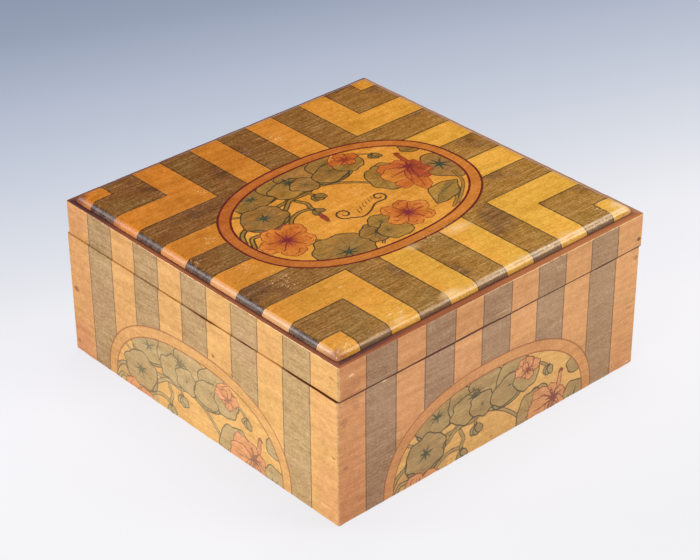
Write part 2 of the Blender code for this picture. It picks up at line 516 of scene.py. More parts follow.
# The garland's stems, as width, share of the bold pen and points. Places are in mm from the oval's middle
BOLD_STEMS = (
    (2.3, 1.0, ((-72, 2.5), (-68.5, 9.5), (-63, 13.5), (-56, 14.5))),
    (2.2, 1.0, ((-71, -4), (-66.5, 4), (-62.5, 4.5), (-59, 4.5), (-52, 8))),
    (2.3, 0.8, ((-44, 17), (-34, 21), (-27, 22), (-20, 26), (-10, 27))),
    (2.3, 0.8, ((-38, 12), (-31, 17.5), (-24, 22), (-14, 21.5), (-6, 24))),
    (2.1, 0.8, ((-44, -1), (-37, 6), (-30, 8.5), (-23.5, 7.5), (-21.5, 4))),
    (2.2, 0.8, ((-23, 19), (-20.5, 13), (-22, 8), (-20.5, 3))),
)
# Thin stems, as width and points
STEMS = (
    (1.5, ((-63, 31), (-60, 28), (-55, 25))), (1.9, ((-6, 24), (4, 20.5), (14, 13.5), (24, 3))),
    (1.8, ((4, 25), (12, 21), (20, 23), (25, 29))), (1.5, ((31, 37), (36, 36), (41.5, 32))),
    (1.4, ((-11.5, 22), (-12, 18.5), (-11.3, 15))),
)
LOWER_STEMS = (
    (1.5, ((-41, -20), (-39, -24), (-36, -30))), (1.6, ((63, -14), (59, -25), (50, -34), (40, -41))),
    (1.5, ((55, -22), (49, -31), (43, -37), (36, -42))), (1.5, ((-14, -34), (-14, -40), (-18, -45))),
)
NO_STAR = {"star": False}
# Round leaves, as place, half width and half height, turn in degrees, and what differs from a plain one
LEAVES = (
    (66, 23.5, 8.5, 6.5, 10, NO_STAR), (64.5, -5.5, 13, 15, 5, {"hub": (-1.5, 2.5)}),
    (35.5, 12.5, 8.5, 7.5, 20, {"star": False, "shade": 0.1}),
    (30, 5.5, 10.5, 13.5, -12, {"star": False, "shade": 0.1}),
    (-36, 37, 19, 9.5, 17, {"rim": 0.8, "hub": (-4, 0)}), (-23, 38, 9, 10, 15, NO_STAR),
    (-4, 41.5, 13.5, 9, -12, {"hub": (-9, -2)}), (-17, 31.5, 13, 9, 4, {"hub": (4, 6), "rough": 0.07}),
    (-7, 29.5, 9.5, 7.5, -10, {"star": False, "shade": 0.7, "rough": 0.07}),
    (15, 39, 12.5, 10, 25, NO_STAR), (12, 30, 13, 8.5, 14, {"rim": 1.6, "hub": (1, 2), "star": False}),
    (26, 33, 10, 9.5, 40, NO_STAR), (-47.8, 16.6, 14.2, 11.6, 8, {"rim": 1.7, "rough": 0.06}),
)
LOWER_LEAVES = (
    (-36.5, -35.2, 17.8, 14, -14, {"hub": (-1, -4), "rough": 0.055}),
    (-14, -34.5, 8.5, 9, 10, {"star": False, "rough": 0.07}), (-4, -27.5, 7.5, 7, 0, NO_STAR),
    (-3.5, -38.5, 10, 8.5, -10, {"hub": (-4, 2), "star": False}),
)


def garland(canvas, high=1.0, whole=True, plain=False):
    """Flowers and round leaves on looping stems, about the oval's middle. high stretches them upwards, whole
    asks for its lower half too, and plain leaves out the smaller flowers and the buds."""
    def raised(points):
        return [(x, y * high) for x, y in points]

    def stems(rows):
        for width, points in rows:
            canvas.stem(raised(points), width)

    def leaves(rows):
        for x, y, half_width, half_height, turn, looks in rows:
            round_leaf(canvas, (x, y * high), (half_width, half_height), turn, **looks)

    # Stems and far leaves first, since each thing hides what lies under it
    bold_pen = 1.1 if whole else 0.7
    for width, share, points in BOLD_STEMS:
        canvas.stem(raised(points), width, pen=share * bold_pen)
    stems(STEMS)
    canvas.pen_line(raised(((-19, 46), (-22, 41), (-16, 42), (-13, 46.5))), GREEN_INK, 0.7)
    leaves(LEAVES)
    open_flower(canvas, (-53.4, -9 * high), 17, 70, 0.96)
    if plain:
        return
    half_open_flower(canvas, (26.8, 35.6 * high), 7.9, -8)
    bud(canvas, (43.5, 30 * high), 4.2, 160)
    bud(canvas, (-11, 16.6 * high), 4.9, 180)
    petal(canvas, (-22.5, 0.5 * high), 9.5, 4.0, -100, PETAL_RED * 0.75, PURPLE, 0.04, 0.5)
    bud(canvas, (-21.8, 4.5 * high), 4.2, 190, 2)
    side_flower(canvas, (43.5, 2.0 * high), 18.5)
    if not whole:
        return
    stems(LOWER_STEMS)
    leaves(LOWER_LEAVES)
    long_leaf(canvas, (44, -27.4), (14.6, 8.2), 25)
    open_flower(canvas, (13.4, -30.4), 14.8, 100, 0.98, 6)


def flourish(canvas):
    """A curling pen flourish in the middle of the oval: a wave with a spiral at each end and short ticks."""
    def spiral(middle, radius, start, turns, points=14):
        t = np.linspace(0, 1, points)
        a = math.radians(start) + 2 * np.pi * turns * t
        r = radius * (1 - 0.82 * t)
        return list(zip(middle[0] + r * np.cos(a), middle[1] + r * np.sin(a)))

    wave = [(-7, -17.5), (0, -15.5), (7, -11.5)]
    left = spiral((-13.2, -8.8), 5.4, 270, -1.35)
    right = spiral((13.2, -7.2), 4.4, 270, 1.3)
    canvas.pen_line(left[::-1] + wave + right, DARK_INK, 1.2)
    for x in np.linspace(-6, 9, 6):
        low = -13.5 + 0.42 * (x + 6)
        canvas.pen_line([(x, low), (x + 0.5, low + 2.2), (x + 1.6, low + 4.4)], DARK_INK, 0.75, 1.0, 0.6)


# Materials

class Field:
    """One number, colour or vector of a finish. Arithmetic on numbers adds Math nodes."""

    def __init__(self, finish, socket):
        self.finish = finish
        self.socket = socket

    def maths(self, operation, *values):
        return self.finish.node("ShaderNodeMath", {"operation": operation}, values)

    def __add__(self, other):
        return self.maths("ADD", self, other)

    def __sub__(self, other):
        return self.maths("SUBTRACT", self, other)

    def __rsub__(self, other):
        return self.maths("SUBTRACT", other, self)

    def __mul__(self, other):
        return self.maths("MULTIPLY", self, other)

    def __pow__(self, other):
        return self.maths("POWER", self, other)

    def __abs__(self):
        return self.maths("ABSOLUTE", self)

    __radd__ = __add__
    __rmul__ = __mul__

    def least(self, other):
        return self.maths("MINIMUM", self, other)

    def most(self, other):
        return self.maths("MAXIMUM", self, other)

    def fold(self, length):
        """Runs from 0 up to length and back again, over and over."""
        return self.maths("PINGPONG", self, length)

    def step(self, low, high):
        """0 under low and 1 over high, rising smoothly between them, or falling where low is above high."""
        if low > high:
            return 1 - self.step(high, low)
        values = {"Value": self, "From Min": low, "From Max": high}
        return self.finish.node("ShaderNodeMapRange", {"interpolation_type": "SMOOTHSTEP"}, values)


class Finish:
    """A node material. Its masks and colours are built as expressions on Field."""

    def __init__(self, name):
        self.material = bpy.data.materials.new(name)
        self.material.use_nodes = True
        self.tree = self.material.node_tree
        self.shader = self.tree.nodes["Principled BSDF"]

    def node(self, kind, settings=None, values=(), output=0):
        """Add a node: its settings first, then its sockets, by place or by name. Gives one of
        its outputs."""
        made = self.tree.nodes.new(kind)
        for name, value in (settings or {}).items():
            setattr(made, name, value)
        for key, value in values.items() if isinstance(values, dict) else enumerate(values):
            self.feed(made.inputs[key], value)
        return Field(self, made.outputs[output])

    def feed(self, socket, value):
        """Link a Field to a socket, or set a plain number, colour or vector on it."""
        if isinstance(value, Field):
            self.tree.links.new(value.socket, socket)
        elif socket.type == "RGBA":
            socket.default_value = (*value[:3], 1.0)
        else:
            socket.default_value = value

    def set(self, **values):
        """Feed the main shader. Base_Color stands for Base Color, and so on."""
        for name, value in values.items():
            self.feed(self.shader.inputs[name.replace("_", " ")], value)

    def attribute(self, name, output="Vector"):
        return self.node("ShaderNodeAttribute", {"attribute_name": name}, (), output)

    def split(self, vector):
        """The three numbers of a vector."""
        parts = self.node("ShaderNodeSeparateXYZ", {}, [vector]).socket.node
        return [Field(self, output) for output in parts.outputs]

    def join(self, x, y, z):
        return self.node("ShaderNodeCombineXYZ", {}, (x, y, z))

    def noise(self, at, scale, detail, rough=0.5):
        """Cloudy noise about 0.5 at a vector, with scale repeats per unit."""
        values = {"Vector": at, "Scale": scale, "Detail": detail, "Roughness": rough}
        return self.node("ShaderNodeTexNoise", {}, values)

    def distance(self, a, b):
        return self.node("ShaderNodeVectorMath", {"operation": "DISTANCE"}, (a, b), "Value")

    def mix(self, mask, under, over, kind="MIX"):
        """One colour over another where the mask says, blended in that kind of way."""
        settings = {"data_type": "RGBA", "blend_type": kind}
        made = self.node("ShaderNodeMix", settings, {"Factor": mask}, "Result").socket.node
        colours = [socket for socket in made.inputs if socket.type == "RGBA"]
        self.feed(colours[0], under)
        self.feed(colours[1], over)
        return Field(self, next(socket for socket in made.outputs if socket.type == "RGBA"))

    def bump(self, height, depth):
        """A normal from a height between 0 and 1, which stands for depth in metres."""
        return self.node("ShaderNodeBump", {}, {"Strength": 1.0, "Distance": depth, "Height": height})


# Stains, as pairs: where the varnish has yellowed most, and where it has least
TOP_LIGHT = (light(182, 108, 26), light(215, 159, 53))
TOP_DARK = (light(114, 70, 27), light(160, 111, 41))
TOP_BAND = (light(164, 84, 24), light(190, 112, 34))
TOP_WARM = light(206, 116, 30)
TOP_DUSK = light(84, 54, 38)
WALL_LIGHT = (light(217, 153, 97), light(221, 168, 95))
WALL_DARK = (light(168, 130, 96), light(186, 150, 98))
WALL_BAND = (light(213, 147, 89), light(218, 163, 93))
WALL_WARM = light(206, 134, 86)
WALL_DUSK = light(164, 120, 92)
WALL_FIELD = light(222, 171, 90)
LEDGE = light(150, 84, 46)
LEDGE_DARK = light(112, 66, 52)
LEDGE_RIGHT = light(170, 120, 90)
LEDGE_PALE = light(174, 108, 62)
LEDGE_GRAIN = light(122, 60, 34)
LEDGE_DIRT_AND_SHADE = light(74, 34, 40)
RIM_PALE = light(212, 128, 58)
RIM_SHEEN = light(230, 180, 124)
RIM_BROWN = light(58, 40, 32)
RIM_DUSTY = light(108, 84, 68)
RIM_GREY = light(92, 74, 62)
RIM_HIGHLIGHT_AND_WEAR = light(248, 226, 198)
LINE_INK = light(46, 30, 18)
WALL_INK = light(104, 74, 62)
BAND_INK = light(92, 10, 2)
WALL_BAND_INK = light(156, 82, 44)
SEAM_DIRT_AND_SHADE = light(104, 44, 4)
SEAM_SHADOW = light(72, 26, 2)
WALL_WASH = light(214, 184, 130)
WALL_GROUND = light(230, 176, 101)
WALL_BLUSH = light(231, 164, 110)
CREAM = light(236, 200, 146)
KNOT = light(140, 74, 46)
NAIL = light(80, 40, 44)
BROWN = light(150, 92, 50)
BARE_WOOD = light(196, 152, 100)


# Scuffed places: board number, place on it and reach in mm. Places are along a wall from its middle and
# height, or x and y on the top
SCUFFS = (
    (9, -83.5, 19, 7), (9, -81, -37, 15), (9, -60, -97.5, 9), (9, -96, -101, 9),
    (9, 2, -58, 9), (9, 94, -98, 12), (9, -88, -14, 9), (9, 16.6, 81.8, 9),
    (9, 8, 6, 8), (9, -52, 62, 8), (9, -102, 8, 7),
    (0, 12, 79, 10), (0, -79, 62, 4), (0, -101, 88, 5),
)
# Marks: board number, place, half width, height over width, strength and tone
MARKS = (
    (0, 107.6, 80.8, 1.9, 0.9, 0.9, NAIL), (0, -106, 62, 3.6, 0.9, 0.35, KNOT),
    (0, -101, 77, 11, 1.3, 0.3, KNOT), (3, 101, 48, 12, 1.8, 0.12, BROWN),
    (0, -104.9, 34, 2.4, 0.6, 0.5, KNOT), (0, 107, 69, 2.8, 0.6, 0.5, KNOT),
    (0, 104, 38.5, 6, 0.25, 0.45, KNOT), (0, 105.6, 2.2, 1.8, 0.4, 0.8, CREAM),
    (0, -101.2, 88.4, 2.2, 0.5, 1, CREAM), (0, -78.9, 74.4, 1.9, 0.4, 0.8, CREAM),
    (0, -1.9, 3.4, 0.9, 0.8, 0.8, NAIL), (0, 98, 47, 9, 0.08, 0.4, CREAM),
    (0, 6, 79.3, 8, 0.07, 0.5, CREAM), (3, 14.5, 55.7, 1.4, 0.9, 1, BROWN),
    (3, -106.3, 41.3, 3.4, 0.6, 0.8, KNOT), (3, 107.9, 41, 2.4, 0.4, 0.6, BROWN),
    (3, 106.6, 87.5, 2.2, 0.35, 0.6, BROWN), (3, 105.5, 84, 1.6, 0.3, 0.5, BROWN),
    (3, -107.7, 6.6, 2.2, 0.8, 0.5, KNOT), (9, 103, -101, 9, 0.8, 0.8, CREAM),
    (9, 21, -59.5, 13, 0.5, 0.5, CREAM), (9, -9.5, -58, 7, 0.6, 0.4, CREAM),
    (9, -106, 104, 7, 1.3, 0.75, NAIL), (9, -63.9, -61.6, 1.8, 0.4, 0.5, CREAM),
    (9, -63, -97.4, 1.5, 0.5, 0.9, CREAM), (9, -57.2, -99.4, 1.2, 0.5, 0.9, CREAM),
    (9, -27, -103, 9, 0.5, 0.6, CREAM), (9, -62, -103.5, 7.5, 0.4, 0.4, CREAM),
    (9, -105, -105, 8, 0.9, 0.7, KNOT), (9, -108, 93, 5, 1.4, 0.4, NAIL),
    (9, -106.5, 70, 5.5, 1.2, 0.45, KNOT), (9, -109, -98, 6, 1.4, 0.6, KNOT),
    (9, 58, -102, 8, 0.4, 0.3, CREAM), (9, 25, -102.5, 6, 0.4, 0.25, CREAM),
)


class PaintedWood(Finish):
    """Stained stripes with pen lines between them, a banded picture, old varnish and wear.

    x, y and z are the place on the board in mm and board is its number. colour is what the methods have
    laid so far, and dark is where the dark stain shows. The noises are fine streaks and a broader figure
    along the board, specks, grit, slow clouds and small ones.
    """

    def __init__(self, name, top=False):
        super().__init__(name)
        self.top = top
        self.x, self.y, self.z = x, y, z = self.split(self.attribute("place"))
        self.board = self.attribute("board", "Fac")
        self.streak = self.cloudy(x * 0.055, y * 0.8, z * 0.8, 7, 1.0, 4.0, 0.7)
        self.figure = self.cloudy(x * 0.02, y * 0.22, z * 0.2, 5, 1.0, 3.0, 0.6)
        self.speckle = self.cloudy(x * 0.7, y, z, 9, 0.9, 2.0, 0.6)
        self.grit = self.cloudy(x * 0.7, y, z, 11, 2.2, 1.0, 0.5)
        self.cloud = self.cloudy(x, y, z, 31, 0.035, 3.0, 0.55)
        self.mottle = self.cloudy(x, y, z, 17, 0.22, 3.0, 0.6)

        # The top is yellower towards the front right, and the left wall yellower than the others
        if top:
            self.fade = (x * 0.74 - y * 0.67).step(-105, 95) * 0.8 + self.cloud * 0.4 - 0.1
        else:
            self.on_left = self.on("left")
            self.fade = self.on_left * 0.8 + x.step(-90, 90) * 0.3 + self.cloud * 0.6 - 0.35

    def cloudy(self, x, y, z, seed, scale, detail, rough):
        """Noise about 0.5 at a place, its own for each board."""
        return self.noise(self.join(x, y, z + self.board * seed), scale, detail, rough)

    def on(self, first, last=None):
        """1 on one wall, or on those from the first to the last in SIDES, and 0 on the others."""
        low, high = SIDES.index(first), SIDES.index(last or first)
        return self.board.step(low - 0.7, low - 0.3) * self.board.step(high + 0.7, high + 0.3)

    def faded(self, pair):
        """A stain between the two of a pair, as far as the varnish there has faded."""
        return self.mix(self.fade, *pair)

    def lay(self, mask, over):
        """Lay a colour over what is there, where the mask says."""
        self.colour = self.mix(mask, self.colour, over)

    def stripes(self, light_stain, dark_stain, warm_stain, line_ink):
        """Stripes with pen lines between them, warmer in slow clouds. They are counted from the middle line
        of a wall, and on the top from the nearer one of its two."""
        x, y, cloud = self.x, self.y, self.cloud
        waver = (self.noise(self.join(x * 0.07, self.board * 3, 0.0), 1.0, 1.0) - 0.5) * 0.5
        waver = waver + (self.mottle - 0.5) * 0.25
        if self.top:
            away = abs(x - 0.3).least(abs(y - 0.55) * 0.988) + waver
        else:
            away = abs(x + 0.3 + waver)
        from_line = away.fold(STRIPE_mm) - DARK_HALF_mm
        self.dark = dark = from_line.step(0.15, -0.15)
        self.colour = self.mix(dark, self.faded(light_stain), self.faded(dark_stain))
        if self.top:
            self.lay(cloud.step(0.46, 0.32) * dark * 0.5, TOP_DUSK)
            warm = cloud.step(0.45, 0.67) * (x.step(110, -40) * 0.24 + 0.16)
        else:
            at_end = cloud.step(0.4, 0.65) * 0.4 + y.step(40, 5) * 0.2 + x.step(0, -1) * 0.2
            warm = (cloud.step(0.45, 0.67) * 0.25).most(abs(x).step(84, 100) * at_end)
        self.lay(warm, self.mix(dark, warm_stain, LEAF_DEEP if self.top else WALL_DUSK))
        wide = 0.55 if self.top else 0.42
        line = abs(from_line + (self.speckle - 0.5) * 0.2).step(wide, wide * 0.45)
        self.lay(line * abs(x).step(107, 105) * 0.85, line_ink)

    def picture(self, band_stain, band_ink, field, thinned):
        """The banded picture that the board's points carry, its paint thinned to the field in places."""
        uneven = (self.mottle - 0.5) * 0.3
        from_band = self.attribute("band", "Fac") + uneven
        inside = (self.attribute("field", "Fac") + uneven).step(0.1, -0.1)
        on_band = from_band.step(0.1, -0.1)
        pen = self.attribute("ink", "Fac") + (self.speckle - 0.5) * 0.2
        wash = self.cloudy(self.x * 0.12, self.y * 0.45, self.z * 0.45, 3, 1.0, 3.0, 0.6)
        paint = self.mix(wash.step(0.5, 0.78) * thinned, self.attribute("paint", "Color"), field)
        self.lay(inside, self.mix(pen.step(0.14, -0.16) * 0.92, paint, self.attribute("pen", "Color")))
        self.lay(on_band, self.faded(band_stain))
        edge = abs(from_band).step(0.82, 0.46) if self.top else abs(from_band).step(0.6, 0.25) * 0.7
        self.lay(edge, band_ink)
        self.dark = self.dark * (1 - inside) * (1 - on_band)

    def varnish(self, pale, shares, depths, streaky, fine):
        """Grain through every stain, most through the dark one: each of red, green and blue is multiplied
        by 1 + depth * grain + share * pale. Blue has the greatest depth, as varnish darkens it most."""
        specks = (self.speckle - 0.5) * (self.dark * 0.6 + 0.7) + (self.grit - 0.5) * 0.35
        grain = (self.streak - 0.5) * streaky + specks * fine + (self.figure - 0.5) * 0.5
        grain = grain + (self.cloud - 0.5) * 0.3 + (self.mottle - 0.5) * 0.4
        shades = [(grain * depth + pale * share + 1.0).most(0.1) for depth, share in zip(depths, shares)]
        self.colour = self.mix(1.0, self.colour, self.join(*shades), "MULTIPLY")
        self.lay(grain.step(0.05, 0.5) * 0.1, CREAM)

    def rim(self):
        """The top's rounded rim: end grain on its ends, pale and brown in turns, its pale part lightened by
        a painted sheen that grows towards the front; a darker grey at its foot on the dark stripes, partly
        painted shade; and a painted highlight along the front, partly worn varnish. Gives where the end
        grain shows and how near the front it is."""
        mottle = self.mottle
        end_grain = (self.attribute("end_rim", "Fac") + (mottle - 0.5) * 0.9).step(2.9, 2.0)
        near = self.y.step(100, -90)
        # Painted sheen: the pale end grain is laid paler towards the front, as a highlight on the rim
        pale_with_sheen = self.mix(near * 0.8, RIM_PALE, RIM_SHEEN)
        browned = self.mix((self.figure + self.speckle - 0.5).step(0.35, 0.65), RIM_BROWN, RIM_DUSTY)
        self.lay(end_grain * 0.8, self.mix(self.dark, pale_with_sheen, browned))
        # Darker grey on the lower rim of the dark stripes, partly painted shade
        self.lay(self.z.step(-1.6, -3.2) * (1 - end_grain) * self.dark * 0.7, RIM_GREY)
        # Painted highlight along the front rim, partly pale worn varnish
        highlight_and_wear = abs(self.z + 0.75 + (mottle - 0.5) * 0.4).step(0.5, 0.1) * (1 - end_grain)
        highlight_and_wear = highlight_and_wear * (self.x * 0.9 + (self.cloud - 0.5) * 60).step(-38, 36)
        self.lay(highlight_and_wear * ((mottle * 0.7 + self.speckle * 0.5).step(0.25, 0.75) * 0.5 + 0.2), RIM_HIGHLIGHT_AND_WEAR)
        return end_grain, near

    def ledge(self):
        """The bare ledge round the top board: its own brown on each wall, dirt by the corners, painted shade
        at the foot of the board, and a worn outer arris."""
        x, y, z = self.x, self.y, self.z
        foot = self.attribute("foot", "Fac")
        upper = LID_mm[1][2]
        ledge = self.mix((self.figure - 0.5) * 2.2 + (self.speckle - 0.5) + 0.2, LEDGE, LEDGE_GRAIN)
        ledge = self.mix(x.step(-40, 80) * self.on("front") * 0.8, ledge, LEDGE_PALE)
        ledge = self.mix(self.on("right"), ledge, LEDGE_RIGHT)
        ledge = self.mix(self.on("back"), ledge, LEDGE_DARK)
        by_corner = self.attribute("corner", "Fac").step(80, 12)
        dirt_and_shade = by_corner * self.mottle.step(0.15, 0.5) * foot.step(3.6, 1.2)
        dirt_and_shade = dirt_and_shade * (1 - self.on("right", "back") * 0.7) * (x.step(30, -30) * 0.7 + 0.3)
        # Painted shade along the foot of the top board, laid with the dirt
        ledge = self.mix(dirt_and_shade.most(foot.step(1.5, 0.2) * 0.6), ledge, LEDGE_DIRT_AND_SHADE)
        self.lay(y.step(upper - 0.3, upper - 0.12) * z.step(0.04, 0.16), ledge)
        arris = y.step(upper - 0.75, upper - 0.45) * z.step(0.16, 0.04)
        arris = arris * ((x + 20).step(-60, 60) + self.on_left * 0.4).least(1.0)
        self.lay(arris * (self.mottle + self.speckle).step(0.75, 1.05), CREAM)

    def seam(self):
        """The dark line between body and lid, which comes and goes, partly dirt and partly painted shade, a
        painted shadow in the gap between them, and the worn corners of the walls.
        """
        x, mottle, on_left = self.x, self.mottle, self.on_left
        waver = (self.noise(x * 0.02 + self.board * 7, 1.0, 1.0) - 0.5) * 1.6 - x.step(-60, -105) * 0.4
        gap = self.attribute("gap", "Fac") + (mottle - 0.5) * 0.4
        thick = abs(x + 28).step(70, 10) * 0.4 + 0.6 + (self.figure - 0.5) * 0.5
        thick = thick * (1 - on_left * x.step(108, 50) * 0.7)
        # Dirt and painted shade along the seam
        dirt_and_shade = (thick - abs(self.y - SEAM_mm - waver)).step(-0.1, 0.25)
        self.lay(dirt_and_shade * (1 - on_left * x.step(20, -60) * 0.8), SEAM_DIRT_AND_SHADE)
        # Painted shadow in the gap between body and lid
        self.lay(gap.step(0.8, 0.4) * (1 - on_left * x.step(40, -40) * 0.6), SEAM_SHADOW)
        worn = self.attribute("corner", "Fac").step(0.9, 0.1) * (mottle + self.speckle * 0.6).step(0.6, 0.9)
        self.lay(worn * 0.7, CREAM)

    def wear(self):
        """Flecks and fine scratches in the varnish, crowded where it is scuffed, and single marks. The
        lookups set the boards far enough apart for a mark to reach only its own."""
        x, y, z = self.x, self.y, self.z
        apart = self.board * BOARDS_APART_mm
        crowd = self.cloudy(x, y, z, 13, 0.05, 2.0, 0.5).step(0.5, 0.72) * 0.55
        spot = self.join(x, y, apart)
        for face, at_x, at_y, reach in SCUFFS:
            near = self.distance(spot, (at_x, at_y, face * BOARDS_APART_mm)).step(reach, reach * 0.3)
            crowd = crowd.most(near)
        fleck = self.cloudy(x * 0.5 + y * 0.3, y * 0.9 - x * 0.35, z, 4, 1.1, 2.0, 0.5)
        fleck = (fleck + crowd * 0.12).step(0.70, 0.78) * (crowd * 0.7 + 0.3)
        scratch = self.cloudy((x + y * 0.5) * 0.09, (y - x * 0.5) * 2.4, z * 2, 1, 1.0, 2.0, 0.5)
        scratch = (scratch + crowd * 0.06).step(0.70, 0.76) * crowd
        self.lay((fleck * 0.55).most(scratch * 0.45), CREAM)
        for face, at_x, at_y, reach, tall, strength, tone in MARKS:
            if self.top == (face == TOP_BOARD):
                soft = reach > 4
                shape = self.join(x, y * (1 / tall), apart)
                away = self.distance(shape, (at_x, at_y / tall, face * BOARDS_APART_mm))
                away = away + ((self.mottle if soft else self.speckle) - 0.5) * reach * 1.2
                self.lay(away.step(reach, 0.0 if soft else reach * 0.4) * strength, tone)

    def finished(self, roughness, specular):
        """The material, with the colour laid, a roughness that wavers with the grain, and its relief."""
        self.set(Base_Color=self.colour)
        self.set(Roughness=(self.mottle - 0.5) * 0.25 + (self.streak - 0.5) * 0.15 + roughness)
        relief = self.streak * 0.6 + self.speckle * 0.3 + self.mottle * 0.6
        self.set(Normal=self.bump(relief, 0.00016), Specular_IOR_Level=specular)
        return self.material


def painted_top(name):
    """The top's finish: glossier, with a coat of varnish on its rim, and paler towards the front."""
    wood = PaintedWood(name, top=True)
    wood.stripes(TOP_LIGHT, TOP_DARK, TOP_WARM, LINE_INK)
    wood.picture(TOP_BAND, BAND_INK, FIELD, thinned=0.5)
    shares, depths = (0.0, 0.5, 1.8), (1.0, 1.3, 3.2)
    wood.varnish(wood.y * -0.0015, shares, depths, streaky=wood.dark * 1.3 + 0.5, fine=1.05)
    end_grain, near = wood.rim()
    wood.wear()
    rim = wood.attribute("rim", "Fac")
    smooth = end_grain * near**2 * 0.7 + (1 - end_grain) * wood.x.step(-60, 40) * 0.6
    coat = rim.step(5.2, 4.0) * (wood.mottle.step(0.2, 0.6) * smooth)
    wood.set(Coat_Weight=coat, Coat_Roughness=0.22)
    return wood.finished(roughness=0.4 - rim.step(5.2, 3.5) * 0.12, specular=0.4)


def painted_walls(name, lid):
    """The finish of the body's walls, or of the lid's, which have no picture but a ledge on top. It is
    paler towards the right end, as painted light, and on the body towards the rim."""
    wood = PaintedWood(name)
    wood.stripes(WALL_LIGHT, WALL_DARK, WALL_WARM, WALL_INK)
    if not lid:
        wood.picture(WALL_BAND, WALL_BAND_INK, WALL_FIELD, thinned=0.35)
    high = 0.0 if lid else (wood.y - 34) * (wood.on_left * -0.002 + 0.003)
    # Painted light: paler towards each wall's right end
    pale = wood.x * 0.00055 + high - wood.on_left * 0.03 - 0.02
    shares = depths = (1.0, 1.3, 1.8)
    wood.varnish(pale, shares, depths, streaky=wood.dark * 0.35 + 0.35, fine=0.65)
    if lid:
        wood.ledge()
    wood.seam()
    wood.wear()
    return wood.finished(roughness=0.5, specular=0.3)


def bare_wood(name):
    """Plain sawn wood inside the box."""
    wood = Finish(name)
    x, y, z = wood.split(wood.node("ShaderNodeTexCoord", {}, (), "Object"))
    streak = wood.noise(wood.join(x * 60, y * 60, z * 900), 1.0, 4.0, 0.6)
    cloud = wood.noise(wood.join(x * 40, y * 40, z * 60), 1.0, 3.0, 0.55)
    shade = (streak - 0.5) * 0.4 + (cloud - 0.5) * 0.5 + 1.0
    wood.set(Base_Color=wood.mix(1.0, BARE_WOOD, wood.join(shade, shade, shade), "MULTIPLY"))
    wood.set(Roughness=streak * 0.2 + 0.55)
    wood.set(Normal=wood.bump(streak, 0.0001))
    return wood.material


# Boards

def add_mesh(name, points_mm, faces, materials, values, bare):
    """A mesh object in the frame's metres, with its materials and its point values. bare marks the faces
    that have the second material."""
    mesh = bpy.data.meshes.new(name)
    mesh.from_pydata((points_mm * MM).tolist(), [], faces)
    for material in materials:
        mesh.materials.append(material)
    mesh.polygons.foreach_set("material_index", bare.astype(np.int32))
    for key, value in values.items():
        kind, field = "FLOAT", "value"
        if key == "place":
            kind, field = "FLOAT_VECTOR", "vector"
        elif key in ("paint", "pen"):
            kind, field = "FLOAT_COLOR", "color"
            value = np.hstack((value.reshape(-1, 3), np.ones((len(points_mm), 1))))
        value = np.asarray(value, np.float32).ravel()
        mesh.attributes.new(key, kind, "POINT").data.foreach_set(field, value)
    mesh.update()
    mesh.shade_smooth()
    mesh.set_sharp_from_angle(angle=math.radians(SHARP_ANGLE))
    piece = bpy.data.objects.new(name, mesh)
    bpy.context.scene.collection.objects.link(piece)
    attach(piece, "root")
    return piece


def section(low, high, rows, is_lid):
    """A board's section as a closed loop, outer face first, going up. Each point is depth and height, and
    the share of the arris radius that is added to each, so that the arris may vary along the board. It
    is smaller at the seam."""
    turn = np.linspace(0, np.pi / 2, ARRIS_POINTS)
    s, c = np.sin(turn), np.cos(turn)
    zero = np.zeros(ARRIS_POINTS)
    at_seam = SEAM_ARRIS_mm / ARRIS_mm
    low_arris, high_arris = (at_seam, 1) if is_lid else (1, at_seam)
    lower = np.stack((zero, low + zero, low_arris * (1 - s), low_arris * (1 - c)), axis=1)
    face = np.stack((0 * rows, rows, 0 * rows, 0 * rows), axis=1)
    upper = np.stack((zero, high + zero, high_arris * (1 - c), high_arris * (s - 1)), axis=1)
    inner = np.array([
        (WALL_mm, high, -1, 0), (WALL_mm, high, 0, -1), (WALL_mm, (low + high) / 2, 0, 0),
        (WALL_mm, low, 0, 1), (WALL_mm, low, -1, 0),
    ])
    return np.vstack((lower, face, upper, inner)), slice(ARRIS_POINTS, ARRIS_POINTS + len(rows))


def mitred(loop, length, columns, seed):
    """A section carried along a board: each point's place along it from its middle, height and depth.

    Towards each end a row runs straight to the mitre, or, within the corner's radius r of the face,
    round half of a quarter circle: x = L/2 - max(r, d) + (r - d) sin t, depth = max(r, d) - (r - d) cos t.
    """
    start = length / 2 - WALL_mm - END_STRETCH_mm
    middle_columns = columns[np.abs(columns) < start]
    ends = np.concatenate((-END_SHARES[::-1], np.zeros(len(middle_columns) + 2), END_SHARES))
    beside = np.full(len(END_SHARES) + 1, start)
    place = np.concatenate((-beside, middle_columns, beside))

    arris = ARRIS_mm * (1 + wander(place + 9 * ends, seed, 23, 0.35) + wander(place, seed + 1, 6, 0.25))
    depth = loop[:, 0] + loop[:, 2] * arris[:, None]
    height = loop[:, 1] + loop[:, 3] * arris[:, None]
    radius = CORNER_RADIUS_mm
    rest = np.maximum(radius - depth, 0)
    straight = length / 2 - MITRE_GAP_mm - np.maximum(radius, depth) - start
    run = np.abs(ends)[:, None] * (straight + rest * np.pi / 4)
    bend = np.clip(run - straight, 0, None) / np.maximum(rest, 1e-6)
    run = np.minimum(run, straight) + rest * np.sin(bend)
    across = place[:, None] + np.sign(ends)[:, None] * run
    depth = np.where(bend > 0, np.maximum(radius, depth) - rest * np.cos(bend), depth)
    return across, height, depth


def sleeve(count, around, bare_from):
    """Faces of a row of closed loops of points, with a cap at each end. Also marks the bare ones: the caps
    and what lies from one place in the loop on."""
    here, there = np.arange(around), np.roll(np.arange(around), -1)
    first = np.arange(count - 1)[:, None] * around
    quads = np.stack((first + here, first + around + here, first + around + there, first + there), axis=-1)
    caps = [here.tolist(), (here + (count - 1) * around)[::-1].tolist()]
    bare = np.append(np.tile(here >= bare_from, count - 1), (True, True))
    return quads.reshape(-1, 4).tolist() + caps, bare


